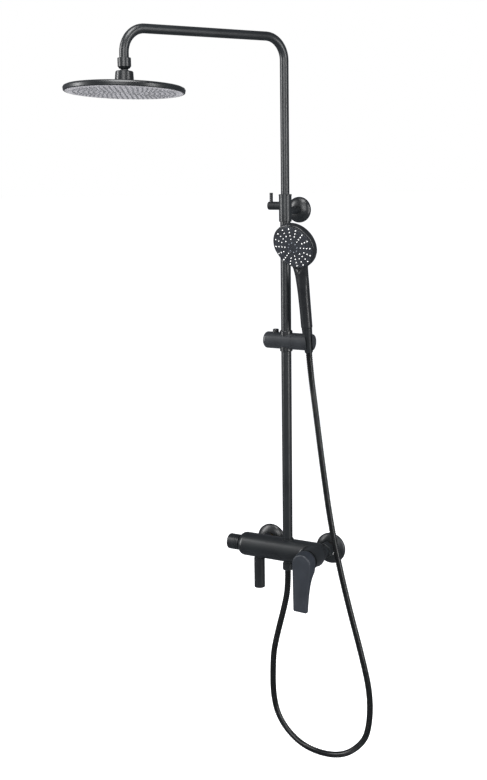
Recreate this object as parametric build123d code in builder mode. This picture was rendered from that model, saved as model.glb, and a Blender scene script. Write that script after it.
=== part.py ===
from build123d import *
import os
from math import cos, pi, radians, sin, tan

# Rainfall shower column with a bath spout and hand shower. The wall is the plane y = 0, the
# object stands out along -y, z is up, and the origin is midway between the two wall inlets.

# ---- driving dimensions, millimetres and degrees ----
inlet_pitch = 150.0
tail_radius = 10.48
tail_length = 18.0
union_lift = 4.0
standoff = 68.0

body_radius = 26.5
body_left, body_right = -119.0, 86.0
barrel_x, barrel_radius, barrel_depth = 68.0, 23.5, 110.0
chamber_radius = 17.6
lever_pivot_depth = 118.0
hood_radius, dome_radius = 24.2, 21.6
lever_turn = -1.5
spout_x, spout_radius, spout_end = -72.0, 12.2, -94.0
knob_radius, knob_length = 17.6, 29.0

riser_radius, riser_wall, riser_top = 11.0, 1.2, 752.0
upper_radius, upper_wall, upper_bottom = 9.0, 1.0, 500.0
arm_z, arm_reach, arm_azimuth, bend_radius = 1104.0, 380.0, 25.0, 46.0
sleeve_low, sleeve_high, sleeve_radius = 730.0, 784.0, 13.4
flange_z, flange_radius, stub_radius = 752.0, 27.5, 8.0
lock_z, lock_radius = 763.0, 8.7

ball_z, ball_radius, head_tilt = 1035.0, 9.8, 3.8
nut_radius, nut_top, nut_low = 12.7, 1049.3, 1029.5
head_radius, plate_radius = 115.0, 110.8
hub_top, head_top, head_low = -10.2, -37.0, -49.3

slider_z, slider_radius = 476.0, 18.0
slider_left, slider_seam, slider_right = -50.0, 17.6, 64.0
bush_radius, bush_half = 13.6, 22.5
button_x, button_radius = -25.0, 6.5
cradle_x, slot_width, slot_turn = 52.0, 15.0, 35.0
handset_tilt, handset_twist, face_tilt = 10.0, -8.0, 13.0
cone_top, cone_low = 33.0, -22.0
face_height, face_forward, face_radius = 213.0, 26.0, 49.5

hose_radius = 7.0
running_gap = 0.05

axis_z = union_lift
inlet_x = inlet_pitch / 2

# ---- planes and axes ----
# elevation(x): local x is world x, local y is world z, through the column's axis plane
elevation = Plane(origin=(0, -standoff, 0), x_dir=(1, 0, 0), z_dir=(0, -1, 0))


def side_view(x, z=0.0):
    """Section plane across x: local x is the distance from the wall, local y is the height."""
    return Plane(origin=(x, 0, z), x_dir=(0, -1, 0), z_dir=(-1, 0, 0))


def upright(x, y, z=0.0):
    return Axis((x, y, z), (0, 0, 1))


def toward_wall(x, z):
    return Axis((x, 0, z), (0, 1, 0))


def turn(points, plane, axis, mode=Mode.ADD):
    """Turn a closed outline about an axis, in the part that is being built."""
    with BuildSketch(plane) as section:
        with BuildLine():
            Polyline(*points, close=True)
        make_face()
    revolve(section.sketch, axis=axis, mode=mode)


def dome_ring(x, z, rim, shoulder, neck, height, bore):
    """A round cover plate on the wall: a thin rim, a domed face and a bore round its axis."""
    with BuildSketch(side_view(x, z)) as section:
        with BuildLine():
            Polyline((0, bore), (0, rim), (2.5, rim))
            Bezier((2.5, rim), (5.0, rim), (height - 1.5, shoulder), (height, neck))
            Polyline((height, neck), (height, bore), (0, bore))
        make_face()
    revolve(section.sketch, axis=toward_wall(x, z))


def drill(plane, radius, depth, mode=Mode.SUBTRACT):
    """A round hole or rod that starts on a plane and follows its normal."""
    with BuildSketch(plane) as disc:
        Circle(radius)
    extrude(disc.sketch, amount=depth, mode=mode)


pieces = {}


# ================= wall inlets =================
union_face = 29.0          # distance from the wall to the union's sealing face
boss_face = 31.0           # distance from the wall to the mixer's threaded inlets
boss_radius = 13.2
web_low, web_high = 5.0, 13.0   # the strainer web inside each tail
shoulder_face = 1.0        # distance from the wall to the face of the eccentric shoulder

with BuildPart() as inlet_unions:
    for x in (-inlet_x, inlet_x):
        drill(Plane(origin=(x, 0, 0), z_dir=(0, 1, 0)), tail_radius, tail_length, Mode.ADD)
        drill(Plane(origin=(x, -8, 0), z_dir=(0, 1, 0)), 9.6, 8, Mode.ADD)
        drill(Plane(origin=(x, -8, union_lift / 2), z_dir=(0, 1, 0)), 12.6, 8 - shoulder_face, Mode.ADD)
        drill(Plane(origin=(x, -25, union_lift), z_dir=(0, 1, 0)), 10.5, 19, Mode.ADD)
        drill(Plane(origin=(x, -union_face, union_lift), z_dir=(0, 1, 0)), 12.8, 4, Mode.ADD)
    for x in (-inlet_x, inlet_x):
        drill(Plane(origin=(x, tail_length, 0), z_dir=(0, -1, 0)), 6.5, tail_length - web_high)
        drill(Plane(origin=(x, web_low, 0), z_dir=(0, -1, 0)), 6.5, web_low + 9)
        drill(Plane(origin=(x, -union_face, union_lift), z_dir=(0, 1, 0)), 6.5, 22)
        with BuildSketch(Plane(origin=(x, web_low, 0), z_dir=(0, 1, 0))) as strainer:
            with PolarLocations(4.2, 6):
                Circle(1.5)
        extrude(strainer.sketch, amount=web_high - web_low, mode=Mode.SUBTRACT)
pieces["inlet_unions"] = inlet_unions

with BuildPart() as escutcheons:
    for x in (-inlet_x, inlet_x):
        dome_ring(x, 0, 35.0, 28.0, 17.5, 12.5, 15.2)
pieces["escutcheons"] = escutcheons

with BuildPart() as union_nuts:
    for x in (-inlet_x, inlet_x):
        with BuildSketch(Plane(origin=(x, -39.5, union_lift), z_dir=(0, 1, 0))) as hexagon:
            RegularPolygon(15.2, 6, major_radius=False)
        extrude(hexagon.sketch, amount=18.5)
        drill(Plane(origin=(x, -39.5, union_lift), z_dir=(0, 1, 0)), boss_radius + running_gap, 14.5)
        drill(Plane(origin=(x, -26, union_lift), z_dir=(0, 1, 0)), 10.6, 6)
    chamfer(union_nuts.edges().filter_by(GeomType.LINE).group_by(Axis.Y)[0], 0.8)
pieces["union_nuts"] = union_nuts

with BuildPart() as inlet_washers:
    for x in (-inlet_x, inlet_x):
        drill(Plane(origin=(x, -boss_face, union_lift), z_dir=(0, 1, 0)), 12.6,
              boss_face - union_face, Mode.ADD)
        drill(Plane(origin=(x, -boss_face, union_lift), z_dir=(0, 1, 0)), 7.0, 2)
pieces["inlet_washers"] = inlet_washers

# ================= mixer =================
riser_socket_z = axis_z + 12
boss_top = axis_z + body_radius + 1.2
spout_face = axis_z - body_radius - 1.5
outlet_face = axis_z - body_radius - 12
along_body = Plane(origin=(body_left, -standoff, axis_z), z_dir=(1, 0, 0))
waterway_radius = 9.0

with BuildPart() as mixer_body:
    with BuildSketch(along_body):
        Circle(body_radius)
    extrude(amount=body_right - body_left)
    fillet(mixer_body.edges().filter_by(GeomType.CIRCLE), 15)
    drill(Plane(origin=(barrel_x, -standoff, axis_z), z_dir=(0, -1, 0)), barrel_radius,
          barrel_depth - standoff, Mode.ADD)
    saddle = mixer_body.edges().filter_by(GeomType.LINE, reverse=True)
    fillet(saddle.filter_by_position(Axis.Y, -105, -75), 8)
    # the barrel ends in a ball inside the body, so that the right end turns forward like an elbow
    with Locations((barrel_x, -standoff, axis_z)):
        Sphere(barrel_radius)
    drill(Plane(origin=(barrel_x, -standoff, axis_z), z_dir=(0, -1, 0)), barrel_radius, 20, Mode.ADD)
    drill(Plane(origin=(0, -standoff, axis_z), z_dir=(0, 0, 1)), 13.4, boss_top - axis_z, Mode.ADD)
    drill(Plane(origin=(spout_x, -standoff, axis_z), z_dir=(0, 0, -1)), 10.8,
          axis_z - spout_face, Mode.ADD)
    drill(Plane(origin=(0, -standoff, axis_z), z_dir=(0, 0, -1)), 9.8,
          axis_z - outlet_face, Mode.ADD)
    for x in (-inlet_x, inlet_x):
        drill(Plane(origin=(x, -standoff, axis_z), z_dir=(0, 1, 0)), boss_radius,
              standoff - boss_face, Mode.ADD)
    # waterways, the diverter's chamber, the cartridge's chamber and the riser's socket
    drill(along_body, 13.0, -60 - body_left)
    drill(along_body, waterway_radius, barrel_x - body_left - 20)
    drill(Plane(origin=(barrel_x, -barrel_depth, axis_z), z_dir=(0, 1, 0)), chamber_radius, 38)
    drill(Plane(origin=(0, -standoff, boss_top), z_dir=(0, 0, -1)),
          riser_radius + 0.02, boss_top - riser_socket_z)
    drill(Plane(origin=(0, -standoff, outlet_face), z_dir=(0, 0, 1)), 6.0, axis_z - outlet_face)
    drill(Plane(origin=(spout_x, -standoff, spout_face), z_dir=(0, 0, 1)), 7.0, 22)
    for x in (-inlet_x, inlet_x):
        drill(Plane(origin=(x, -boss_face, axis_z), z_dir=(0, -1, 0)), 7.0, 12)
pieces["mixer_body"] = mixer_body

with BuildPart() as cartridge:
    drill(Plane(origin=(barrel_x, -72.2, axis_z), z_dir=(0, -1, 0)), chamber_radius - 0.1, 32, Mode.ADD)
    drill(Plane(origin=(barrel_x, -104.2, axis_z), z_dir=(0, 1, 0)), 9.0, 14)
pieces["cartridge"] = cartridge

# The dome that clamps the cartridge is a ball about the lever's pivot, so that the hood turns
# round it. Its mouth lets the spindle swing.
with BuildPart() as cartridge_cover:
    with Locations((barrel_x, -lever_pivot_depth, axis_z)):
        Sphere(dome_radius)
    drill(Plane(origin=(barrel_x, -barrel_depth, axis_z), z_dir=(0, 1, 0)), 40, 40)
    drill(Plane(origin=(barrel_x, -barrel_depth, axis_z), z_dir=(0, 1, 0)), chamber_radius - 0.1,
          5.6, Mode.ADD)
    drill(Plane(origin=(barrel_x, -160, axis_z), z_dir=(0, 1, 0)), 12.5, 56)
    split(bisect_by=Plane(origin=(0, -134, 0), z_dir=(0, 1, 0)), keep=Keep.TOP)
pieces["cartridge_cover"] = cartridge_cover

lever_frame = Plane(origin=(barrel_x, -lever_pivot_depth, axis_z),
                    x_dir=(cos(radians(lever_turn)), 0, sin(radians(lever_turn))), z_dir=(0, -1, 0))
with BuildPart() as lever_spindle:
    drill(Plane(origin=(barrel_x, -91, axis_z), z_dir=(0, -1, 0)), 8.7, 13, Mode.ADD)
    drill(Plane(origin=(barrel_x, -104, axis_z), z_dir=(0, -1, 0)), 6.0, 10, Mode.ADD)
    with BuildSketch(lever_frame.offset(-5)) as fork:
        with Locations((-5, 0), (5, 0)):
            Rectangle(2.6, 9)
    extrude(fork.sketch, amount=9)
    drill(Plane(origin=lever_frame.origin - lever_frame.x_dir * 8, z_dir=lever_frame.x_dir), 1.95, 16)
pieces["lever_spindle"] = lever_spindle

hood_rim, hood_front, hood_front_radius, lever_low = 1.0, 24.0, 20.0, -110.0
with BuildPart() as mixer_lever:
    with BuildSketch(lever_frame.offset(hood_rim)):
        Circle(hood_radius)
    with BuildSketch(lever_frame.offset(hood_front)):
        Circle(hood_front_radius)
    loft()
    with BuildSketch(lever_frame.offset(hood_front)) as blade:
        with BuildLine():
            Polyline((0.4 - hood_front_radius, 0), (hood_front_radius - 0.4, 0), (15.5, lever_low),
                     (-15.5, lever_low), close=True)
        make_face()
    extrude(blade.sketch, amount=-11)
    fillet(mixer_lever.edges().filter_by(Axis.Y).group_by(Axis.Z)[0], 4)
    with Locations(lever_frame.origin):
        Sphere(dome_radius + 0.5, mode=Mode.SUBTRACT)
    with BuildSketch(lever_frame) as tongue:
        Rectangle(7, 10)
    extrude(tongue.sketch, amount=hood_front - 2)
    drill(Plane(origin=lever_frame.origin - lever_frame.x_dir * 4, z_dir=lever_frame.x_dir), 1.9, 8)
pieces["mixer_lever"] = mixer_lever

with BuildPart() as lever_pin:
    pin_start = lever_frame.origin - lever_frame.x_dir * 6
    drill(Plane(origin=pin_start, z_dir=lever_frame.x_dir), 1.9, 12, Mode.ADD)
pieces["lever_pin"] = lever_pin

knob_x = body_left - 0.6
with BuildPart() as diverter_valve:
    drill(Plane(origin=(-61, -standoff, axis_z), z_dir=(-1, 0, 0)), 12.9, 52, Mode.ADD)
    drill(Plane(origin=(-113, -standoff, axis_z), z_dir=(1, 0, 0)), 6.1, 37)
    with Locations((-72, -standoff, axis_z)):
        Cylinder(5.0, 30, mode=Mode.SUBTRACT)
pieces["diverter_valve"] = diverter_valve

with BuildPart() as diverter_stem:
    drill(Plane(origin=(-78, -standoff, axis_z), z_dir=(-1, 0, 0)), 6.0, 56, Mode.ADD)
pieces["diverter_stem"] = diverter_stem

with BuildPart() as diverter_knob:
    drill(Plane(origin=(knob_x, -standoff, axis_z), z_dir=(-1, 0, 0)), knob_radius, knob_length, Mode.ADD)
    fillet(diverter_knob.edges().filter_by(GeomType.CIRCLE).group_by(Axis.X)[0], 3.5)
    drill(Plane(origin=(knob_x, -standoff, axis_z), z_dir=(-1, 0, 0)), 6.0, 134 + knob_x)
    for groove in (4, 8):
        turn([(knob_x - groove, knob_radius + axis_z - 0.8), (knob_x - groove - 1, knob_radius + axis_z - 0.8),
              (knob_x - groove - 1, knob_radius + axis_z + 1), (knob_x - groove, knob_radius + axis_z + 1)],
             elevation, Axis((0, -standoff, axis_z), (1, 0, 0)), Mode.SUBTRACT)
pieces["diverter_knob"] = diverter_knob

with BuildPart() as spout:
    drill(Plane(origin=(spout_x, -standoff, spout_face), z_dir=(0, 0, -1)), spout_radius,
          spout_face - spout_end, Mode.ADD)
    chamfer(spout.edges().filter_by(GeomType.CIRCLE).group_by(Axis.Z)[-1], 1.2)
    fillet(spout.edges().filter_by(GeomType.CIRCLE).group_by(Axis.Z)[0], 1.5)
    drill(Plane(origin=(spout_x, -standoff, spout_face), z_dir=(0, 0, -1)), 7.5, 70)
    drill(Plane(origin=(spout_x, -standoff, spout_end), z_dir=(0, 0, 1)), 10.0, 12)
pieces["spout"] = spout

with BuildPart() as aerator:
    drill(Plane(origin=(spout_x, -standoff, spout_end + 0.8), z_dir=(0, 0, 1)), 9.98, 11, Mode.ADD)
    aerator_base = Plane(origin=(spout_x, -standoff, spout_end + 0.8), z_dir=(0, 0, 1))
    with BuildSketch(aerator_base) as outlets:
        Circle(1.2)
        with PolarLocations(3.6, 6):
            Circle(1.1)
        with PolarLocations(7.0, 12):
            Circle(1.1)
    extrude(outlets.sketch, amount=11, mode=Mode.SUBTRACT)
pieces["aerator"] = aerator

# ================= column =================
with BuildPart() as riser_tube:
    drill(Plane(origin=(0, -standoff, riser_socket_z), z_dir=(0, 0, 1)), riser_radius,
          riser_top - riser_socket_z, Mode.ADD)
    drill(Plane(origin=(0, -standoff, riser_socket_z), z_dir=(0, 0, 1)), riser_radius - riser_wall,
          riser_top - riser_socket_z)
pieces["riser_tube"] = riser_tube

stub_end = 6.0
with BuildPart() as bracket_sleeve:
    drill(Plane(origin=(0, -standoff, sleeve_low), z_dir=(0, 0, 1)), sleeve_radius,
          sleeve_high - sleeve_low, Mode.ADD)
    drill(Plane(origin=(0, -standoff, flange_z), z_dir=(0, 1, 0)), stub_radius, standoff - stub_end, Mode.ADD)
    drill(Plane(origin=(0, -standoff, lock_z), z_dir=(-1, 0, 0)), lock_radius, 22.8, Mode.ADD)
    fillet(bracket_sleeve.edges().filter_by(GeomType.CIRCLE).group_by(Axis.Z)[0], 1)
    drill(Plane(origin=(0, -standoff, sleeve_low), z_dir=(0, 0, 1)), riser_radius + 0.02,
          riser_top - sleeve_low)
    drill(Plane(origin=(0, -standoff, riser_top), z_dir=(0, 0, 1)), upper_radius + running_gap, 60)
    drill(Plane(origin=(-24, -standoff, lock_z), z_dir=(1, 0, 0)), 4.0 + running_gap, 20)
pieces["bracket_sleeve"] = bracket_sleeve

with BuildPart() as sleeve_gland:
    gland = [(upper_radius + running_gap, sleeve_high), (13.9, sleeve_high), (13.9, sleeve_high + 2.2),
             (13.0, sleeve_high + 3), (upper_radius + running_gap, sleeve_high + 3)]
    turn(gland, elevation, upright(0, -standoff))
pieces["sleeve_gland"] = sleeve_gland

with BuildPart() as wall_flange:
    dome_ring(0, flange_z, flange_radius, 21.0, 10.5, 13.5, 8.1)
    drill(Plane(origin=(0, 0, flange_z), z_dir=(0, -1, 0)), 19.9, 8.0)
pieces["wall_flange"] = wall_flange

with BuildPart() as wall_plate:
    drill(Plane(origin=(0, 0, flange_z), z_dir=(0, -1, 0)), 19.6, stub_end, Mode.ADD)
    with Locations((13.5, -3, flange_z), (-13.5, -3, flange_z)):
        Cylinder(2.4, 8, rotation=(90, 0, 0), mode=Mode.SUBTRACT)
pieces["wall_plate"] = wall_plate

with BuildPart() as wall_screws:
    for x in (-13.5, 13.5):
        screw = [(-24, 0.1), (-24, 1.0), (-20, 2.0), (2.0, 2.0), (6.0, 2.0), (6.0, 4.0), (7.4, 3.2), (7.4, 0.1)]
        turn(screw, side_view(x, flange_z), toward_wall(x, flange_z))
pieces["wall_screws"] = wall_screws

with BuildPart() as lock_screw:
    drill(Plane(origin=(-upper_radius - 0.1, -standoff, lock_z), z_dir=(-1, 0, 0)), 4.0, 19.9, Mode.ADD)
pieces["lock_screw"] = lock_screw

lock_end, lock_pin_x, lock_pin_radius = -39.5, -33.0, 3.6
with BuildPart() as lock_knob:
    drill(Plane(origin=(-23.2, -standoff, lock_z), z_dir=(-1, 0, 0)), lock_radius, -23.2 - lock_end, Mode.ADD)
    fillet(lock_knob.edges().filter_by(GeomType.CIRCLE).group_by(Axis.X)[0], 2.2)
    drill(Plane(origin=(-23.2, -standoff, lock_z), z_dir=(-1, 0, 0)), 4.0, 5.9)
    drill(Plane(origin=(lock_pin_x, -standoff, lock_z), z_dir=(0, 0, 1)), lock_pin_radius, 12)
pieces["lock_knob"] = lock_knob

with BuildPart() as lock_pin:
    drill(Plane(origin=(lock_pin_x, -standoff, lock_z), z_dir=(0, 0, 1)), lock_pin_radius, 27, Mode.ADD)
    fillet(lock_pin.edges().filter_by(GeomType.CIRCLE).group_by(Axis.Z)[-1], 0.8)
pieces["lock_pin"] = lock_pin

with BuildPart() as guide_bush:
    drill(Plane(origin=(0, -standoff, upper_bottom), z_dir=(0, 0, -1)), 9.72, 14, Mode.ADD)
    drill(Plane(origin=(0, -standoff, upper_bottom), z_dir=(0, 0, -1)), 6.5, 14)
pieces["guide_bush"] = guide_bush

# ================= swinging tube, arm and drop =================
arm_x = -sin(radians(arm_azimuth))
arm_y = -cos(radians(arm_azimuth))
drop_x = arm_x * arm_reach
drop_y = -standoff + arm_y * arm_reach
drop_end = nut_top - 4.5

with BuildPart() as upper_tube:
    with BuildLine() as tube_line:
        FilletPolyline((0, -standoff, upper_bottom), (0, -standoff, arm_z), (drop_x, drop_y, arm_z),
                       (drop_x, drop_y, drop_end), radius=bend_radius)
    with BuildSketch(Plane(origin=(0, -standoff, upper_bottom), z_dir=(0, 0, 1))):
        Circle(upper_radius)
        Circle(upper_radius - upper_wall, mode=Mode.SUBTRACT)
    sweep()
pieces["upper_tube"] = upper_tube

drop_axis = upright(drop_x, drop_y)
drop_elevation = Plane(origin=(drop_x, drop_y, 0), x_dir=(1, 0, 0), z_dir=(0, -1, 0))
with BuildPart() as ball_nut:
    turn([(upper_radius + 0.02, nut_top), (nut_radius - 0.8, nut_top), (nut_radius, nut_top - 0.8),
          (nut_radius, nut_low + 4), (nut_radius - 3, nut_low), (4, nut_low), (4, ball_z + 2),
          (10.2, ball_z + 2), (10.2, drop_end), (upper_radius + 0.02, drop_end)], drop_elevation, drop_axis)
    with Locations((drop_x, drop_y, ball_z)):
        Sphere(ball_radius + 0.1, mode=Mode.SUBTRACT)
pieces["ball_nut"] = ball_nut

with BuildPart() as ball_seat:
    drill(Plane(origin=(drop_x, drop_y, ball_z + 3), z_dir=(0, 0, 1)), 10.0, drop_end - ball_z - 3.3, Mode.ADD)
    drill(Plane(origin=(drop_x, drop_y, ball_z + 3), z_dir=(0, 0, 1)), 5.5, 10)
    with Locations((drop_x, drop_y, ball_z)):
        Sphere(ball_radius + running_gap, mode=Mode.SUBTRACT)
pieces["ball_seat"] = ball_seat

# ================= rain head, on its own tilted axis through the ball =================
head_up = Vector(0, sin(radians(head_tilt)), cos(radians(head_tilt)))
ball_point = Vector(drop_x, drop_y, ball_z)
head_section = Plane(origin=ball_point, x_dir=(1, 0, 0), z_dir=Vector(1, 0, 0).cross(head_up))
head_axis = Axis(ball_point, head_up)
stem_radius, hub_bore = 6.0, 6.0

with BuildPart() as head_ball:
    with Locations(ball_point):
        Sphere(ball_radius)
    turn([(0, 0), (stem_radius, 0), (stem_radius, -8.4), (8.5, -8.4), (8.5, hub_top), (stem_radius, hub_top),
          (stem_radius, -24), (0, -24)], head_section, head_axis)
    turn([(0, 12), (3.5, 12), (3.5, -26), (0, -26)], head_section, head_axis, Mode.SUBTRACT)
pieces["head_ball"] = head_ball

with BuildPart() as head_hub:
    turn([(hub_bore, hub_top), (15.3, hub_top), (16.8, hub_top - 1.5), (18.0, -28), (18.2, head_top),
          (hub_bore, head_top)], head_section, head_axis)
pieces["head_hub"] = head_hub

chamber_top = head_top - 2.2
plate_back = head_low + 3.0
with BuildPart() as head_shell:
    turn([(5, head_top), (20, head_top), (head_radius - 5, head_top - 1.6), (head_radius - 1.6, head_top - 3.2),
          (head_radius, head_top - 6), (head_radius - 0.8, head_low + 1.2), (head_radius - 2.4, head_low),
          (plate_radius + 0.1, head_low), (plate_radius + 0.1, plate_back + 0.8), (107, plate_back + 0.8),
          (107, chamber_top - 1.6), (20, chamber_top), (5, chamber_top)], head_section, head_axis)
pieces["head_shell"] = head_shell

with BuildPart() as head_gasket:
    turn([(107.2, plate_back), (plate_radius, plate_back), (plate_radius, plate_back + 0.8),
          (107.2, plate_back + 0.8)], head_section, head_axis)
pieces["head_gasket"] = head_gasket

with BuildPart() as spray_plate:
    turn([(0, head_low), (plate_radius, head_low), (plate_radius, plate_back), (0, plate_back)],
         head_section, head_axis)
pieces["spray_plate"] = spray_plate

# ================= slider on the riser =================
riser_axis = upright(0, -standoff)
with BuildPart() as slider_bush:
    turn([(riser_radius + running_gap, slider_z - bush_half), (bush_radius - 1, slider_z - bush_half),
          (bush_radius, slider_z - bush_half + 1), (bush_radius, slider_z + bush_half - 1),
          (bush_radius - 1, slider_z + bush_half), (riser_radius + running_gap, slider_z + bush_half)],
         elevation, riser_axis)
pieces["slider_bush"] = slider_bush

well_floor = slider_z + 6.5
spigot_radius, spigot_end, ring_x = 10.0, 36.0, 30.0
slider_seat = Plane(origin=(slider_left, -standoff, slider_z), z_dir=(1, 0, 0))
with BuildPart() as slider_body:
    drill(slider_seat, slider_radius, slider_seam - slider_left, Mode.ADD)
    fillet(slider_body.edges().filter_by(GeomType.CIRCLE).group_by(Axis.X)[0], 7)
    drill(slider_seat, spigot_radius, spigot_end - slider_left, Mode.ADD)
    drill(Plane(origin=(0, -standoff, slider_z - 30), z_dir=(0, 0, 1)), bush_radius + running_gap, 60)
    drill(slider_seat, 5.5, 38)
    turn([(ring_x - 1, slider_z + 8.6), (ring_x + 1, slider_z + 8.6), (ring_x + 1, slider_z + 11),
          (ring_x - 1, slider_z + 11)], elevation, Axis((0, -standoff, slider_z), (1, 0, 0)), Mode.SUBTRACT)
    drill(Plane(origin=(button_x, -standoff, well_floor), z_dir=(0, 0, 1)), button_radius + 0.1, 20)
pieces["slider_body"] = slider_body

with BuildPart() as brake_pad:
    drill(Plane(origin=(-13.95, -standoff, slider_z), z_dir=(-1, 0, 0)), 5.2, 7, Mode.ADD)
    drill(Plane(origin=(-20.95, -standoff, slider_z), z_dir=(-1, 0, 0)), 3.0, 14, Mode.ADD)
pieces["brake_pad"] = brake_pad

with BuildPart() as slider_plug:
    drill(Plane(origin=(slider_left + 0.2, -standoff, slider_z), z_dir=(1, 0, 0)), 5.4, 8, Mode.ADD)
pieces["slider_plug"] = slider_plug

button_low = slider_z + 13.0
with BuildPart() as slider_button:
    drill(Plane(origin=(button_x, -standoff, button_low), z_dir=(0, 0, 1)), button_radius, 11.5, Mode.ADD)
    fillet(slider_button.edges().filter_by(GeomType.CIRCLE).group_by(Axis.Z)[-1], 1.2)
pieces["slider_button"] = slider_button

coil_turns, coil_radius, wire_radius = 4, 4.2, 0.5
spring_low, spring_high = well_floor + 0.6, button_low - 0.6
with BuildPart() as button_spring:
    with BuildLine() as coil:
        Helix(pitch=(spring_high - spring_low) / coil_turns, height=spring_high - spring_low,
              radius=coil_radius, center=(button_x, -standoff, spring_low))
    with BuildSketch(Plane(origin=coil.line @ 0, z_dir=coil.line % 0)):
        Circle(wire_radius)
    sweep(is_frenet=True)
pieces["button_spring"] = button_spring

# ================= handset: its own frame stands on the cradle's axis =================
tilt, twist = radians(handset_tilt), radians(handset_twist)
handle_up = Vector(0, -sin(tilt), cos(tilt))
handle_right = Vector(cos(twist), sin(twist) * cos(tilt), sin(twist) * sin(tilt))
seat_point = Vector(cradle_x, -standoff, slider_z)
handle = Plane(origin=seat_point, x_dir=handle_right, z_dir=handle_up)
handle_axis = Axis(seat_point, handle_up)
handle_section = Plane(origin=seat_point, x_dir=handle_right, z_dir=handle_right.cross(handle_up))
cradle_frame = Plane(origin=seat_point, x_dir=(1, 0, 0), z_dir=handle_up)
slot_way = (cradle_frame.x_dir * sin(radians(slot_turn))
            - cradle_frame.y_dir * cos(radians(slot_turn)))

cone_top_radius, cone_low_radius = 11.3, 8.9
cone_slope = (cone_top_radius - cone_low_radius) / (cone_top - cone_low)


def cone_radius(height, gap=0.0):
    return cone_low_radius + cone_slope * (height - cone_low) + gap


reach = slider_radius + 4
with BuildPart() as cradle:
    drill(Plane(origin=(slider_seam + 0.4, -standoff, slider_z), z_dir=(1, 0, 0)), slider_radius,
          slider_right - slider_seam - 0.4, Mode.ADD)
    fillet(cradle.edges().filter_by(GeomType.CIRCLE).group_by(Axis.X)[-1], 3)
    drill(Plane(origin=(slider_seam, -standoff, slider_z), z_dir=(1, 0, 0)), spigot_radius + running_gap,
          spigot_end - slider_seam + 0.4)
    turn([(0, -reach), (cone_radius(-reach, 0.3), -reach), (cone_radius(reach, 0.3), reach), (0, reach)],
         handle_section, handle_axis, Mode.SUBTRACT)
    with BuildSketch(Plane(origin=seat_point, x_dir=slot_way.cross(handle_up), z_dir=slot_way)) as slot:
        Rectangle(slot_width, 2 * reach)
    extrude(slot.sketch, amount=reach + 4, mode=Mode.SUBTRACT)
pieces["cradle"] = cradle

with BuildPart() as friction_ring:
    with Locations((ring_x, -standoff, slider_z)):
        Torus(9.3, 0.65, rotation=(0, 90, 0))
pieces["friction_ring"] = friction_ring

with BuildPart() as hose_cone:
    turn([(5.2, cone_low), (cone_low_radius, cone_low), (cone_top_radius, cone_top), (5.2, cone_top)],
         handle_section, handle_axis)
pieces["hose_cone"] = hose_cone

# head of the hand shower
face_centre = seat_point + handle_up * face_height + handle.y_dir * -face_forward
face_normal = (handle.y_dir * -cos(radians(face_tilt)) + handle_up * -sin(radians(face_tilt)))
face_section = Plane(origin=face_centre, x_dir=handle_right, z_dir=handle_right.cross(face_normal * -1))
face_axis = Axis(face_centre, face_normal * -1)
grip = [(cone_top, 12.3, 12.3, 0), (70, 12.4, 12.4, 0), (105, 12.9, 12.6, -0.5), (135, 14.2, 12.6, -2.5),
        (162, 17.5, 10, -4.8), (185, 22, 8, -10.5)]

with BuildPart() as handset_shell:
    for height, half_width, half_depth, forward in grip:
        with BuildSketch(handle.offset(height)):
            with Locations((0, forward)):
                Ellipse(half_width, half_depth)
    loft()
    turn([(0, 3), (46.6, 3), (46.6, 0.8), (48.4, 0.8), (face_radius, 3), (face_radius, 12), (47.6, 14.8),
          (39, 19.6), (23, 23.2), (0, 24.5)], face_section, face_axis)
    front = Plane(origin=face_centre, x_dir=handle_right, z_dir=face_normal)
    drill(front.offset(-3), 46.6, 3)
    drill(front, 60, 40)
    drill(handle.offset(cone_top), 7.0, 120)
pieces["handset_shell"] = handset_shell

with BuildPart() as spray_face:
    turn([(0, 0), (45.6, 0), (46.4, 0.8), (46.4, 3), (0, 3)], face_section, face_axis)
pieces["spray_face"] = spray_face

nozzle_rings = ((10.5, 8), (19.2, 8), (26.8, 16), (34.4, 16), (42.2, 16))
with BuildPart() as face_nozzles:
    for ring_radius, count in nozzle_rings:
        with BuildSketch(front) as ring:
            with PolarLocations(ring_radius, count):
                Circle(1.1)
        extrude(ring.sketch, amount=1.4)
pieces["face_nozzles"] = face_nozzles

# ================= hose =================
hose_nut_low = axis_z - body_radius - 18.5
with BuildPart() as hose_nut:
    drill(Plane(origin=(0, -standoff, hose_nut_low), z_dir=(0, 0, 1)), 11.6, 16.0, Mode.ADD)
    chamfer(hose_nut.edges().filter_by(GeomType.CIRCLE), 1.0)
    drill(Plane(origin=(0, -standoff, outlet_face - 0.1), z_dir=(0, 0, 1)), 9.8 + running_gap, 20)
    drill(Plane(origin=(0, -standoff, hose_nut_low), z_dir=(0, 0, 1)), 5.0, 8)
pieces["hose_nut"] = hose_nut

cone_mouth = seat_point + handle_up * cone_low
hose_points = [
    (0, -68, hose_nut_low), (0, -68, -80), (-6.5, -69, -121), (-29.4, -71, -209), (-37.7, -72.5, -256),
    (-37.7, -73.5, -363), (-10, -74, -423), (48.5, -73, -464), (132.7, -71.5, -464), (187.6, -70.5, -416),
    (200.5, -70, -365), (200.5, -69.5, -297), (183.7, -69.5, -223), (141, -70, -74), (108, -70.5, 67),
    (83.5, -68, 222), (66.5, -61.5, 325), tuple(cone_mouth - handle_up * 48), tuple(cone_mouth)]


def arc_radii(points):
    """The largest tangent arc at each corner that takes under half of its shorter run."""
    radii = []
    for before, corner, after in zip(points, points[1:], points[2:]):
        run_in = Vector(*corner) - Vector(*before)
        run_out = Vector(*after) - Vector(*corner)
        half_turn = radians(run_in.get_angle(run_out)) / 2
        radii.append(0.45 * min(run_in.length, run_out.length) / tan(half_turn))
    return radii


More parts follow.
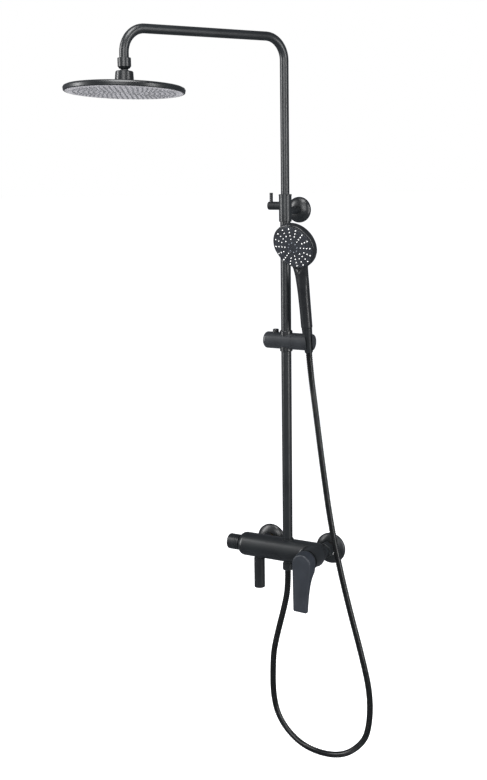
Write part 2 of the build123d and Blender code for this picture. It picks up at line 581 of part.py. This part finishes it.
hose_radii = arc_radii(hose_points)
with BuildPart() as hose:
    with BuildLine() as hose_line:
        FilletPolyline(*hose_points, radius=hose_radii)
    with BuildSketch(Plane(origin=hose_line.line @ 0, z_dir=hose_line.line % 0)):
        Circle(hose_radius)
    sweep()
pieces["hose"] = hose

hose_length = hose_line.wires()[0].length
print("hose length", round(hose_length, 1), "smallest arc", round(min(hose_radii), 1),
      "volume ratio", round(hose.part.volume / (pi * hose_radius**2 * hose_length), 4))

os.makedirs("parts", exist_ok=True)
for label, piece in pieces.items():
    piece.part.label = label
    export_step(piece.part, f"parts/{label}.step")
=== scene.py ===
import math
import bpy
import bmesh
from mathutils import Matrix, Vector


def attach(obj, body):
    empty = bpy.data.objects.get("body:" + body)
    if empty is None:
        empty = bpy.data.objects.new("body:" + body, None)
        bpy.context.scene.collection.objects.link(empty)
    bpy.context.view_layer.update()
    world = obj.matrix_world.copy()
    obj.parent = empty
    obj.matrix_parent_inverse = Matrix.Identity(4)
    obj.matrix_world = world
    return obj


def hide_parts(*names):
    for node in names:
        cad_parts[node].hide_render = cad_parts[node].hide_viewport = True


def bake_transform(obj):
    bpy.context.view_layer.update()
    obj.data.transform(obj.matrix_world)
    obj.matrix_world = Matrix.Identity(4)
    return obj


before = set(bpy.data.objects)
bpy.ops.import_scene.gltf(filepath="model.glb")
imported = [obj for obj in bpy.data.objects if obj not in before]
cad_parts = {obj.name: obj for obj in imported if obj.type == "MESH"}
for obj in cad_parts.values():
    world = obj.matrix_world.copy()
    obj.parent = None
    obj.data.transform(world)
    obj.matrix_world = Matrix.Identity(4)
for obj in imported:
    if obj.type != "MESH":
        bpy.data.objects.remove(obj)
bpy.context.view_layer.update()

mm = 0.001
print("frame loaded,", len(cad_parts), "nodes")


# camera: a standing viewer to the right of the column, looking slightly down
camera = {
    "place": (1.1105, -2.2715, 0.858),
    "azimuth": 28.92, "down": 11.21, "roll": -0.85,
    "lens": 53.47, "sensor": 36.0,
}


def placeCamera(c):
    a, p, r = (math.radians(c[k]) for k in ("azimuth", "down", "roll"))
    ahead = Vector((-math.sin(a) * math.cos(p), math.cos(a) * math.cos(p), -math.sin(p)))
    level = Vector((math.cos(a), math.sin(a), 0))
    up = level.cross(ahead)
    right = math.cos(r) * level + math.sin(r) * up
    top = -math.sin(r) * level + math.cos(r) * up
    data = bpy.data.cameras.new("camera")
    data.sensor_fit = "VERTICAL"
    data.sensor_height = c["sensor"]
    data.lens = c["lens"]
    data.clip_end = 50
    cam = bpy.data.objects.new("camera", data)
    cam.matrix_world = Matrix.Translation(c["place"]) @ Matrix((right, top, -ahead)).transposed().to_4x4()
    bpy.context.scene.collection.objects.link(cam)
    bpy.context.scene.camera = cam


placeCamera(camera)
print("camera placed")


def linear(hexCode):
    parts = [int(hexCode[i:i + 2], 16) / 255 for i in (1, 3, 5)]
    return tuple(c / 12.92 if c <= 0.04045 else ((c + 0.055) / 1.055) ** 2.4 for c in parts) + (1,)


def addNode(tree, kind, settings=None, links=None):
    node = tree.nodes.new(kind)
    for name, value in (settings or {}).items():
        node.inputs[name].default_value = value
    for name, source in (links or {}).items():
        tree.links.new(source, node.inputs[name])
    return node


# Every finish here has a fine grain, which is what keeps the black from looking flat, and a slow
# cloud of tone. grain and cloud are sizes on the surface in millimetres.
finishes = {
    # polyester powder coat on brass: satin, with a faint orange peel that breaks the highlights
    "blackPowderCoat": {"dark": "#0e1012", "light": "#16191b", "cloud": 60, "grain": 2.0,
                        "roughness": (0.32, 0.38), "bump": 0.01, "ior": 1.5},
    # the lever's cast face takes a slightly cooler, drier coat
    "blackCastLever": {"dark": "#1a1e24", "light": "#22262d", "cloud": 40, "grain": 1.0,
                       "roughness": (0.38, 0.50), "bump": 0.018, "ior": 1.5},
    # moulded ABS, lightly spark-eroded: soft broad highlights
    "mouldedBlackAbs": {"dark": "#0e0f11", "light": "#16181a", "cloud": 35, "grain": 0.7,
                        "roughness": (0.26, 0.36), "bump": 0.014, "ior": 1.53},
    # the slider is a lighter charcoal satin
    "charcoalSatinAbs": {"dark": "#191b1e", "light": "#232528", "cloud": 30, "grain": 0.7,
                         "roughness": (0.28, 0.38), "bump": 0.014, "ior": 1.53},
    # the spray face, a dark blue-grey ABS with a fine matt texture
    "slateAbsFace": {"dark": "#181a1f", "light": "#21242a", "cloud": 20, "grain": 0.5,
                     "roughness": (0.36, 0.5), "bump": 0.03, "ior": 1.53},
    # PVC jacket over a wound strip: smoother than the metal, glints on every rib
    "ribbedPvcJacket": {"dark": "#060707", "light": "#0e0f10", "cloud": 25, "grain": 0.6,
                        "roughness": (0.2, 0.3), "bump": 0.01, "ior": 1.53},
    # liquid silicone on the rain head's plate: dull, light grey, faintly dusty
    "greySiliconePlate": {"dark": "#7f7e81", "light": "#959498", "cloud": 18, "grain": 0.8,
                          "roughness": (0.5, 0.66), "bump": 0.02, "ior": 1.41},
    "darkSiliconeNozzle": {"dark": "#58595c", "light": "#6f7074", "cloud": 8, "grain": 0.5,
                           "roughness": (0.45, 0.6), "bump": 0.018, "ior": 1.41},
    "whiteSiliconeNozzle": {"dark": "#e4e4e2", "light": "#f6f6f4", "cloud": 8, "grain": 0.5,
                            "roughness": (0.42, 0.56), "bump": 0.014, "ior": 1.41},
    "greySiliconeNozzle": {"dark": "#6a6f76", "light": "#7d828a", "cloud": 8, "grain": 0.5,
                           "roughness": (0.42, 0.56), "bump": 0.014, "ior": 1.41},
    # turned brass, only seen inside joints and at the tails
    "turnedBrass": {"dark": "#b48f4e", "light": "#cfae6a", "cloud": 12, "grain": 0.4,
                    "roughness": (0.26, 0.4), "bump": 0.018, "metallic": 1.0},
    # stainless steel as it comes from the machine
    "machinedStainless": {"dark": "#a2a4a6", "light": "#bcbec0", "cloud": 10, "grain": 0.4,
                          "roughness": (0.24, 0.36), "bump": 0.014, "metallic": 1.0},
    "whiteAcetal": {"dark": "#dcdcd6", "light": "#e8e8e2", "cloud": 14, "grain": 0.6,
                    "roughness": (0.34, 0.46), "bump": 0.01, "ior": 1.48},
    "greyAcetal": {"dark": "#3c3e40", "light": "#4a4c4f", "cloud": 14, "grain": 0.6,
                   "roughness": (0.4, 0.5), "bump": 0.01, "ior": 1.48},
    "blackEpdmRubber": {"dark": "#151515", "light": "#1d1d1d", "cloud": 14, "grain": 0.6,
                        "roughness": (0.62, 0.78), "bump": 0.02, "ior": 1.52},
}


def makeFinish(name, look):
    material = bpy.data.materials.new(name)
    material.use_nodes = True
    tree = material.node_tree
    tree.nodes.clear()
    coords = addNode(tree, "ShaderNodeTexCoord").outputs["Object"]
    grain = addNode(tree, "ShaderNodeTexNoise", {"Scale": 1 / (look["grain"] * mm), "Detail": 3.0},
                    {"Vector": coords})
    cloud = addNode(tree, "ShaderNodeTexNoise", {"Scale": 1 / (look["cloud"] * mm), "Detail": 2.0},
                    {"Vector": coords})
    tone = addNode(tree, "ShaderNodeValToRGB", links={"Fac": cloud.outputs["Fac"]})
    tone.color_ramp.elements[0].position, tone.color_ramp.elements[1].position = 0.3, 0.7
    tone.color_ramp.elements[0].color = linear(look["dark"])
    tone.color_ramp.elements[1].color = linear(look["light"])
    low, high = look["roughness"]
    gloss = addNode(tree, "ShaderNodeMapRange", {"From Min": 0.3, "From Max": 0.7, "To Min": low,
                                                 "To Max": high}, {"Value": grain.outputs["Fac"]})
    relief = addNode(tree, "ShaderNodeBump", {"Strength": 1.0, "Distance": look["bump"] * mm},
                     {"Height": grain.outputs["Fac"]})
    skin = addNode(tree, "ShaderNodeBsdfPrincipled",
                   {"Metallic": look.get("metallic", 0.0), "IOR": look.get("ior", 1.5)},
                   {"Base Color": tone.outputs["Color"], "Roughness": gloss.outputs["Result"],
                    "Normal": relief.outputs["Normal"]})
    addNode(tree, "ShaderNodeOutputMaterial", links={"Surface": skin.outputs["BSDF"]})
    return material


finish = {name: makeFinish(name, look) for name, look in finishes.items()}

nodeFinish = {
    "blackPowderCoat": ["escutcheons", "union_nuts", "mixer_body", "cartridge_cover", "diverter_knob",
                        "spout", "riser_tube", "bracket_sleeve", "wall_flange", "lock_knob", "lock_pin",
                        "upper_tube", "ball_nut", "head_ball", "head_hub", "head_shell", "hose_nut",
                        "hose_cone", "sleeve_gland"],
    "blackCastLever": ["mixer_lever"],
    "mouldedBlackAbs": ["slider_bush", "handset_shell", "slider_button", "slider_plug"],
    "charcoalSatinAbs": ["slider_body", "cradle"],
    "slateAbsFace": ["spray_face"],
    "ribbedPvcJacket": ["hose"],
    "greySiliconePlate": ["spray_plate"],
    "whiteSiliconeNozzle": ["face_nozzles"],
    "turnedBrass": ["inlet_unions", "lever_spindle", "diverter_stem", "lock_screw"],
    "machinedStainless": ["wall_screws", "lever_pin", "button_spring"],
    "whiteAcetal": ["cartridge", "diverter_valve", "guide_bush", "ball_seat", "brake_pad", "wall_plate"],
    "greyAcetal": ["aerator"],
    "blackEpdmRubber": ["inlet_washers", "head_gasket", "friction_ring"],
}
for name, nodes in nodeFinish.items():
    for node in nodes:
        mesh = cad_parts[node].data
        mesh.materials.clear()
        mesh.materials.append(finish[name])
print("finishes made,", len(finish))


def makePiece(name, bm, material, smoothAngle=35):
    bmesh.ops.remove_doubles(bm, verts=bm.verts, dist=1e-7)
    bmesh.ops.recalc_face_normals(bm, faces=bm.faces)
    mesh = bpy.data.meshes.new(name)
    bm.to_mesh(mesh)
    bm.free()
    mesh.materials.append(material)
    mesh.shade_smooth()
    mesh.set_sharp_from_angle(angle=math.radians(smoothAngle))
    piece = bpy.data.objects.new(name, mesh)
    bpy.context.scene.collection.objects.link(piece)
    return piece


def settle(piece):
    # replaces a piece's mesh by the result of its modifiers
    bpy.context.view_layer.update()
    evaluated = piece.evaluated_get(bpy.context.evaluated_depsgraph_get())
    piece.data = bpy.data.meshes.new_from_object(evaluated)
    piece.modifiers.clear()
    return piece


def cutAway(piece, tool):
    cutter = piece.modifiers.new("cut", "BOOLEAN")
    cutter.operation, cutter.solver, cutter.object = "DIFFERENCE", "EXACT", tool
    settle(piece)
    bpy.data.objects.remove(tool)


def spun(profile, steps=96, closed=True):
    # turns an outline of (radius, height) about the z axis
    bm = bmesh.new()
    verts = [bm.verts.new((r, 0, z)) for r, z in profile]
    ring = zip(verts, verts[1:] + verts[:1]) if closed else zip(verts, verts[1:])
    edges = [bm.edges.new(pair) for pair in ring]
    bmesh.ops.spin(bm, geom=verts + edges, cent=(0, 0, 0), axis=(0, 0, 1), angle=math.tau,
                   steps=steps, use_merge=True)
    bmesh.ops.remove_doubles(bm, verts=bm.verts, dist=1e-7)
    return bm


# the hose leaves the mixer downwards, hangs in one loop, and rises to the cone in the holder
hose = {
    "route": [
        (0, -0.068, -0.041), (0, -0.068, -0.080), (-0.0065, -0.069, -0.121), (-0.0294, -0.071, -0.209),
        (-0.0377, -0.0725, -0.256), (-0.0377, -0.0735, -0.363), (-0.010, -0.074, -0.423),
        (0.0485, -0.073, -0.464), (0.1327, -0.0715, -0.464), (0.1876, -0.0705, -0.416),
        (0.2005, -0.070, -0.365), (0.2005, -0.0695, -0.297), (0.1837, -0.0695, -0.223),
        (0.141, -0.070, -0.074), (0.108, -0.0705, 0.067), (0.0835, -0.068, 0.222),
        (0.0665, -0.0615, 0.325), (0.052, -0.05585, 0.40706), (0.052, -0.06418, 0.45433)],
    "radius": 0.007, "grooveRadius": 0.0058, "ribPitch": 0.0048, "sides": 16,
    # the rising half is cut where it starts to follow the bush, the slider and the cradle
    "bushHeight": 0.25, "sliderHeight": 0.335,
}


def hoseLine(route):
    curve = bpy.data.curves.new("hoseLine", "CURVE")
    curve.dimensions = "3D"
    curve.resolution_u = 16
    spline = curve.splines.new("NURBS")
    spline.points.add(len(route) - 1)
    for point, place in zip(spline.points, route):
        point.co = (*place, 1)
    spline.order_u = 3
    spline.use_endpoint_u = True
    guide = bpy.data.objects.new("hoseLine", curve)
    bpy.context.scene.collection.objects.link(guide)
    bpy.context.view_layer.update()
    mesh = bpy.data.meshes.new_from_object(guide.evaluated_get(bpy.context.evaluated_depsgraph_get()))
    line = [v.co.copy() for v in mesh.vertices]
    bpy.data.objects.remove(guide)
    bpy.data.meshes.remove(mesh)
    return line


def ringFrames(line, h):
    # one frame for each ring: four to a rib, carried along the line without twist
    run = [0.0]
    for a, b in zip(line, line[1:]):
        run.append(run[-1] + (b - a).length)
    ribs = round(run[-1] / h["ribPitch"])
    pitch = run[-1] / ribs
    crest, groove = h["radius"], h["grooveRadius"]
    marks = [(i + t) * pitch for i in range(ribs) for t in (0, 0.15, 0.6, 0.75)] + [run[-1]]
    radii = [groove, crest, crest, groove] * ribs + [groove]
    frames, k, side = [], 0, Vector((1, 0, 0))
    for mark in marks:
        while k < len(line) - 2 and run[k + 1] < mark:
            k += 1
        along = (line[k + 1] - line[k]).normalized()
        place = line[k] + along * (mark - run[k])
        side = (side - along * side.dot(along)).normalized()
        axes = Matrix((side, along.cross(side), along)).transposed().to_4x4()
        frames.append(Matrix.Translation(place) @ axes)
    return frames, radii, run[-1]


def ribbedTube(name, frames, radii, sides):
    bm = bmesh.new()
    made = bmesh.ops.create_circle(bm, cap_ends=True, segments=sides, radius=radii[0], matrix=frames[0])
    ring = made["verts"]
    edges = list({e for v in ring for e in v.link_edges})
    for i in range(1, len(frames)):
        grown = bmesh.ops.extrude_edge_only(bm, edges=edges)["geom"]
        ring = [g for g in grown if isinstance(g, bmesh.types.BMVert)]
        edges = [g for g in grown if isinstance(g, bmesh.types.BMEdge) and all(v in ring for v in g.verts)]
        bmesh.ops.transform(bm, verts=ring, matrix=frames[i] @ Matrix.Scale(radii[i] / radii[i - 1], 4)
                            @ frames[i - 1].inverted())
    bmesh.ops.edgeloop_fill(bm, edges=edges)
    return makePiece(name, bm, finish["ribbedPvcJacket"], smoothAngle=50)


line = hoseLine(hose["route"])
frames, radii, hoseLength = ringFrames(line, hose)
heights = [f.translation.z for f in frames]
lowest = heights.index(min(heights))
cuts = [0, lowest] + [next(i for i in range(lowest, len(heights)) if heights[i] > hose[k])
                      for k in ("bushHeight", "sliderHeight")] + [len(frames) - 1]
hosePieces = []
for name, first, last in zip(("hoseLoop", "hoseRise", "hoseNeck", "hoseTop"), cuts, cuts[1:]):
    tube = ribbedTube(name, frames[first:last + 1], radii[first:last + 1], hose["sides"])
    centres = [f.translation.copy() for f in frames[first:last + 1]]
    length = sum((b - a).length for a, b in zip(centres, centres[1:]))
    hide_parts("hose")
    hosePieces.append((tube, centres, length))
(loop, loopLine, loopLength), (rise, riseLine, riseLength) = hosePieces[:2]
(neck, neckLine, neckLength), (tip, tipLine, tipLength) = hosePieces[2:]
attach(loop, "fixed")
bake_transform(rise)
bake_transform(neck)
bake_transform(tip)
print("hose made,", round(hoseLength, 3), "m in", len(frames), "rings")


# the lever: a round hood over the cartridge that narrows to its front and runs down into a blade
lever = {
    "pivot": (0.068, -0.118, 0.004), "turn": -1.5,
    "rimRadius": 24.2, "frontRadius": 21.0, "front": -24.2,
    "bladeLow": -110.0, "bladeHalfWidth": 17.0, "cornerRadius": 4.5, "edgeRadius": 3.0,
    "bladeStart": -19.0, "tipThickness": 6.0, "rootThickness": 23.2, "thinning": 20.0,
    "cavity": [(0, 4), (22.1, 4), (22.1, -4.5), (20.1, -13.5), (15, -18.5), (0, -18.5)],
}


def makeLever(s):
    bm = bmesh.new()
    corner, crown = s["cornerRadius"], s["frontRadius"]
    outline = [(crown * math.cos(math.radians(a)), crown * math.sin(math.radians(a)))
               for a in range(0, 181, 6)]
    for side in (-1, 1):
        for step in range(7):
            a = math.radians(15 * step if side < 0 else 90 - 15 * step)
            outline.append((side * (s["bladeHalfWidth"] - corner + corner * math.cos(a)),
                            s["bladeLow"] + corner - corner * math.sin(a)))
    bm.faces.new([bm.verts.new((x, s["front"], z)) for x, z in outline])
    for z in range(int(s["bladeLow"]) + 6, 20, 6):
        bmesh.ops.bisect_plane(bm, geom=bm.verts[:] + bm.edges[:] + bm.faces[:], plane_co=(0, 0, z),
                               plane_no=(0, 0, 1))
    rimEdges = [e for e in bm.edges if e.is_boundary]
    back = bmesh.ops.extrude_face_region(bm, geom=bm.faces[:])["geom"]
    for v in (g for g in back if isinstance(g, bmesh.types.BMVert)):
        # the blade thins below the hood, which widens toward its rim
        below = max(0.0, s["bladeStart"] - v.co.z)
        share = math.exp(-below / s["thinning"])
        v.co.y = s["front"] + s["tipThickness"] + (s["rootThickness"] - s["tipThickness"]) * share
        flare = (s["rimRadius"] / s["frontRadius"] - 1) * share
        v.co.x *= 1 + flare
        v.co.z *= 1 + flare * (v.co.z > 0)
    bmesh.ops.recalc_face_normals(bm, faces=bm.faces)
    bmesh.ops.bevel(bm, geom=[e for e in rimEdges if e.is_valid], offset=s["edgeRadius"],
                    offset_type="OFFSET", segments=5, profile=0.5, affect="EDGES", material=-1)
    turn = math.radians(s["turn"])
    place = (Matrix.Translation(s["pivot"])
             @ Matrix(((math.cos(turn), 0, -math.sin(turn)), (0, 1, 0),
                       (math.sin(turn), 0, math.cos(turn)))).to_4x4() @ Matrix.Scale(mm, 4))
    bmesh.ops.transform(bm, verts=bm.verts, matrix=place)
    piece = makePiece("leverHandle", bm, finish["blackCastLever"], smoothAngle=40)
    cavity = spun(s["cavity"], steps=64, closed=False)
    bmesh.ops.transform(cavity, verts=cavity.verts, matrix=place @ Matrix.Rotation(math.radians(-90), 4, "X"))
    cutAway(piece, makePiece("cavity", cavity, finish["blackCastLever"]))
    return piece


leverHandle = makeLever(lever)
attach(leverHandle, "lever")
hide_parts("mixer_lever")
print("lever made")


# the hand shower, in its own axes: x to the right, y to the back, z up the handle
handset = {
    "seat": (0.052, -0.068, 0.476), "tilt": 10.0, "twist": -8.0, "faceTilt": 13.0,
    "faceHeight": 213.0, "faceForward": 26.0, "rimRadius": 49.5, "faceRadius": 46.4,
    # height, half width, half depth and forward shift of the handle's sections
    "sections": [(33, 12.3, 12.3, 0), (50, 12.3, 12.3, 0), (75, 12.4, 12.4, 0), (105, 12.9, 12.6, -0.5),
                 (128, 13.9, 12.4, -1.2), (148, 15.5, 11.2, -2.6), (164, 18.0, 10.0, -5.0),
                 (178, 22.0, 8.8, -8.4), (190, 27.0, 8.0, -11.6)],
    "voxel": 0.0011, "neckLow": 140, "neckHigh": 200, "neckRounds": 14, "shellRounds": 2,
    "notchDepth": 3.0, "notchLow": 150.0, "notchHigh": 168.0, "notchFront": -4,
    "notchHalfWidth": 9.5, "ridgeWidth": 2.5, "notchEdge": 3.0,
}
tilt, twist = math.radians(handset["tilt"]), math.radians(handset["twist"])
handleUp = Vector((0, -math.sin(tilt), math.cos(tilt)))
handleRight = Vector((math.cos(twist), math.sin(twist) * math.cos(tilt), math.sin(twist) * math.sin(tilt)))
handlePlace = (Matrix.Translation(handset["seat"])
               @ Matrix((handleRight, handleUp.cross(handleRight), handleUp)).transposed().to_4x4()
               @ Matrix.Scale(mm, 4))
faceTilt = math.radians(handset["faceTilt"])
# in the face's axes z points out of the face and x stays to the right
facePlace = (handlePlace @ Matrix.Translation((0, -handset["faceForward"], handset["faceHeight"]))
             @ Matrix.Rotation(math.radians(90) + faceTilt, 4, "X"))


def makeHandset(s):
    bm = bmesh.new()
    rings = []
    for height, halfWidth, halfDepth, forward in s["sections"]:
        made = bmesh.ops.create_circle(bm, segments=48, radius=1)["verts"]
        bmesh.ops.transform(bm, verts=made, matrix=Matrix.Translation((0, forward, height))
                            @ Matrix.Diagonal((halfWidth, halfDepth, 1, 1)))
        rings.append(list({e for v in made for e in v.link_edges}))
    for low, high in zip(rings, rings[1:]):
        bmesh.ops.bridge_loops(bm, edges=low + high)
    bmesh.ops.holes_fill(bm, edges=[e for e in bm.edges if e.is_boundary])
    bmesh.ops.transform(bm, verts=bm.verts, matrix=handlePlace)
    rim = s["rimRadius"]
    dome = [(rim * math.cos(math.radians(a)), -12.5 - 12 * math.sin(math.radians(a)) ** 0.9)
            for a in range(0, 91, 9)]
    head = spun([(0, -1)] + [(rim - 1, -1), (rim, -2.5)] + dome[:-1] + [(0, -24.5)], steps=128, closed=False)
    bmesh.ops.transform(head, verts=head.verts, matrix=facePlace)
    shell = makePiece("handsetShell", bm, finish["mouldedBlackAbs"])
    headPiece = makePiece("head", head, finish["mouldedBlackAbs"])
    join = shell.modifiers.new("join", "BOOLEAN")
    join.operation, join.solver, join.object = "UNION", "EXACT", headPiece
    remesh = shell.modifiers.new("remesh", "REMESH")
    remesh.mode, remesh.voxel_size = "VOXEL", s["voxel"]
    settle(shell)
    bpy.data.objects.remove(headPiece)
    return shell


def softenNeck(shell, s):
    # rounds the meeting of handle and head, then presses a hollow with a middle ridge in under the face
    bm = bmesh.new()
    bm.from_mesh(shell.data)
    toHandle = handlePlace.inverted()
    near = [v for v in bm.verts if s["neckLow"] < (toHandle @ v.co).z < s["neckHigh"]]
    for verts, rounds in ((near, s["neckRounds"]), (bm.verts, s["shellRounds"])):
        for step in range(rounds):
            bmesh.ops.smooth_vert(bm, verts=verts, factor=0.5,
                                  use_axis_x=True, use_axis_y=True, use_axis_z=True)
    low, high = s["notchLow"], s["notchHigh"]
    for v in bm.verts:
        p = toHandle @ v.co
        rise = (p.z - low) / (high - low)
        halfWidth, across = s["notchHalfWidth"] * rise, abs(p.x)
        if p.y < s["notchFront"] and 0 < rise < 1 and across < halfWidth:
            ridge = min(1.0, across / s["ridgeWidth"])
            edge = min(1.0, (halfWidth - across) / s["notchEdge"])
            top = min(1.0, 4 * (1 - rise))
            v.co = handlePlace @ (p + Vector((0, s["notchDepth"] * ridge * edge * top, 0)))
    bm.to_mesh(shell.data)
    bm.free()
    shell.data.shade_smooth()


handsetShell = makeHandset(handset)
softenNeck(handsetShell, handset)
recess = spun([(0, 2), (46.7, 2), (46.7, -3.2), (0, -3.2)], steps=128, closed=False)
bmesh.ops.transform(recess, verts=recess.verts, matrix=facePlace)
cutAway(handsetShell, makePiece("recess", recess, finish["mouldedBlackAbs"]))
handsetShell.data.shade_smooth()
handsetShell.data.set_sharp_from_angle(angle=math.radians(40))
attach(handsetShell, "handset")
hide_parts("handset_shell")

sprayFace = spun([(0, 0.8), (6, 0.78), (14.0, 0.6), (14.4, 0.1), (15.0, 0.1), (15.4, 0.6), (30, 0.3),
                  (43.6, -0.1), (44.0, -0.6), (44.6, -0.6), (45.0, -0.1), (46.0, -0.3), (46.4, -0.8),
                  (46.4, -3.0), (0, -3.0)],
                 steps=128, closed=False)
bmesh.ops.transform(sprayFace, verts=sprayFace.verts, matrix=facePlace)
sprayDisc = makePiece("sprayDisc", sprayFace, finish["slateAbsFace"], smoothAngle=25)
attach(sprayDisc, "face")
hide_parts("spray_face")


def nozzleField(name, rings, shape, place, material, phase=0.0):
    # rings is a list of (ring radius, count); shape gives a nozzle's foot, tip and height
    bm = bmesh.new()
    for ringRadius, count in rings:
        for k in range(count):
            a = math.tau * (k + phase) / count
            spot = Matrix.Translation((ringRadius * math.cos(a), ringRadius * math.sin(a), shape["base"]))
            bmesh.ops.create_cone(bm, cap_ends=True, cap_tris=False, segments=shape["sides"],
                                  radius1=shape["foot"], radius2=shape["tip"], depth=shape["height"],
                                  matrix=place @ spot @ Matrix.Translation((0, 0, shape["height"] / 2)))
    piece = makePiece(name, bm, material, smoothAngle=50)
    return piece


handNozzle = {"foot": 1.2, "tip": 0.95, "height": 1.5, "base": 0.0, "sides": 12}
whiteNozzles = nozzleField("whiteNozzles", [(19.2, 8), (26.8, 16), (34.4, 16), (41.8, 16)], handNozzle,
                           facePlace, finish["whiteSiliconeNozzle"])
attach(whiteNozzles, "face")
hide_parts("face_nozzles")
centreNozzles = nozzleField("centreNozzles", [(10.5, 8)], dict(handNozzle, base=0.2), facePlace,
                            finish["greySiliconeNozzle"])
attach(centreNozzles, "face")
print("hand shower made")


# rubber nozzles under the rain head, in rings
rain = {"ball": (-0.1605949, -0.412397, 1.035), "tilt": 3.8, "plate": -49.3, "ringStep": 9.6, "rings": 10}
rainTilt = math.radians(rain["tilt"])
rainUp = Vector((0, math.sin(rainTilt), math.cos(rainTilt)))
rainPlace = (Matrix.Translation(rain["ball"])
             @ Matrix((Vector((1, 0, 0)), -rainUp.cross(Vector((1, 0, 0))), -rainUp)).transposed().to_4x4()
             @ Matrix.Scale(mm, 4))
rainNozzle = {"foot": 2.0, "tip": 1.3, "height": 2.0, "base": -rain["plate"] - 0.2, "sides": 10}
rainRings = [(rain["ringStep"] * (k + 1), 6 * (k + 1)) for k in range(rain["rings"])]
rainNozzles = nozzleField("rainNozzles", rainRings, rainNozzle, rainPlace, finish["darkSiliconeNozzle"])
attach(rainNozzles, "rain_head")
print("rain head made")


# a plain white studio: the floor fades into the background
def addLight(name, place, aim, size, power):
    data = bpy.data.lights.new(name, "AREA")
    data.shape, data.size, data.size_y, data.energy = "RECTANGLE", size[0], size[1], power
    lamp = bpy.data.objects.new(name, data)
    lamp.matrix_world = (Matrix.Translation(place)
                         @ (Vector(aim) - Vector(place)).to_track_quat("-Z", "Y").to_matrix().to_4x4())
    bpy.context.scene.collection.objects.link(lamp)


addLight("leftSoftbox", (-2.2, -1.6, 1.2), (0, -0.1, 0.3), (0.5, 2.6), 75)
addLight("rightSoftbox", (2.6, -0.6, 0.8), (0, -0.1, 0.3), (0.4, 2.6), 55)
addLight("topSoftbox", (0.2, -1.0, 2.6), (0, -0.2, 0.4), (1.0, 1.0), 42)
addLight("frontSoftbox", (1.0, -3.0, 1.4), (0, 0, 0.3), (1.6, 1.6), 55)

world = bpy.data.worlds.new("studio")
world.use_nodes = True
world.node_tree.nodes.clear()
seen = addNode(world.node_tree, "ShaderNodeLightPath").outputs["Is Camera Ray"]
backdrop = addNode(world.node_tree, "ShaderNodeBackground", {"Color": linear("#ffffff"), "Strength": 1.0})
ambient = addNode(world.node_tree, "ShaderNodeBackground", {"Color": linear("#eef4ff"), "Strength": 0.2})
mixed = addNode(world.node_tree, "ShaderNodeMixShader", links={"Fac": seen})
world.node_tree.links.new(ambient.outputs[0], mixed.inputs[1])
world.node_tree.links.new(backdrop.outputs[0], mixed.inputs[2])
addNode(world.node_tree, "ShaderNodeOutputWorld", links={"Surface": mixed.outputs[0]})
bpy.context.scene.world = world
bpy.context.scene.view_settings.view_transform = "Standard"

floorMesh = bmesh.new()
bmesh.ops.create_grid(floorMesh, x_segments=1, y_segments=1, size=60,
                      matrix=Matrix.Translation((0, 0, -0.62)))
floorPaint = bpy.data.materials.new("paleFloor")
floorPaint.use_nodes = True
floorSkin = floorPaint.node_tree.nodes["Principled BSDF"]
floorSkin.inputs["Base Color"].default_value = linear("#f4f4f4")
floorSkin.inputs["Roughness"].default_value = 0.9
floorSkin.inputs["Emission Color"].default_value = linear("#ffffff")
floorSkin.inputs["Emission Strength"].default_value = 0.9
floor = makePiece("floor", floorMesh, floorPaint)
# the floor lights the rain head's plate from below, but the black tubes don't mirror it
floor.visible_glossy = False
print("studio made")
